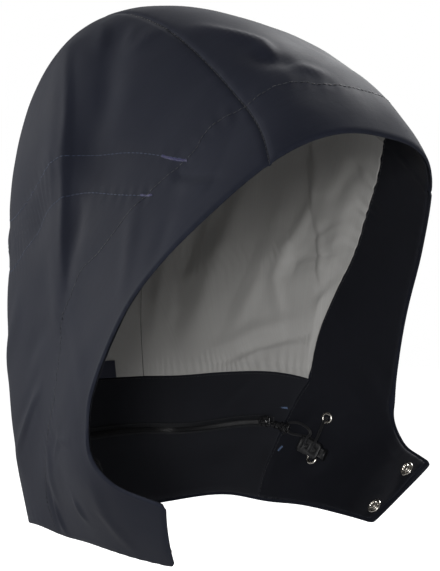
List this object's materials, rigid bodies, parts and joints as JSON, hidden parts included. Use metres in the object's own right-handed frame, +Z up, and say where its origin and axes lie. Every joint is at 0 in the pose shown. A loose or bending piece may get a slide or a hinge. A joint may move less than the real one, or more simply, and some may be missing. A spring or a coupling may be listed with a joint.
{
  "type": "detachable hood",
  "caption": "Detachable jacket hood, worn form: panelled shell, lining, navy facings, neck zip half, cord locks on drawcords between eyelets, and press studs on the front flaps.",
  "frame": {"origin": "where the hood sits on the head: 0.3 mm under the lining at the top of the crown", "axes": "+Z up, the face opening looks along -Y, the wearer's right is -X and left is +X"},
  "size_m": [0.2646, 0.33, 0.37],
  "materials": {
    "shell_cloth": "fine woven, slight sheen",
    "facing_cloth": "fine woven, matt",
    "lining_cloth": "smooth taffeta",
    "label_cloth": "woven satin",
    "zip_tape": "woven tape",
    "zip_plastic": "satin",
    "nickel": "satin nickel",
    "lock_plastic": "satin",
    "cord": "braided"
  },
  "bodies": {
    "root": {"shell_side_right": "shell_cloth", "shell_side_left": "shell_cloth", "shell_centre_panel": "shell_cloth", "front_facing": "facing_cloth", "neck_facing": "facing_cloth", "lining_side_right": "lining_cloth", "lining_side_left": "lining_cloth", "lining_centre_panel": "lining_cloth", "neck_label": "label_cloth", "zip_tape": "zip_tape", "zip_coil": "zip_plastic", "zip_slider": "zip_plastic", "zip_pull": "zip_plastic", "eyelet_right_upper": "nickel", "eyelet_right_lower": "nickel", "stud_right_upper": "nickel", "stud_right_lower": "nickel", "cord_lock_right": "lock_plastic", "drawcord_right": "cord", "eyelet_left_upper": "nickel", "eyelet_left_lower": "nickel", "stud_left_upper": "nickel", "stud_left_lower": "nickel", "cord_lock_left": "lock_plastic", "drawcord_left": "cord"},
    "plunger_right": {"lock_plunger_right": "lock_plastic"},
    "plunger_left": {"lock_plunger_left": "lock_plastic"}
  },
  "joints": [
    {"name": "lock_press_right", "type": "slide", "parent": "root", "child": "plunger_right", "axis": [0.3344, 0.8637, 0.377], "range_m": [0, 0.0025], "stiffness_N_per_m": 1000},
    {"name": "lock_press_left", "type": "slide", "parent": "root", "child": "plunger_left", "axis": [-0.3344, 0.8637, 0.377], "range_m": [0, 0.0025], "stiffness_N_per_m": 1000}
  ]
}
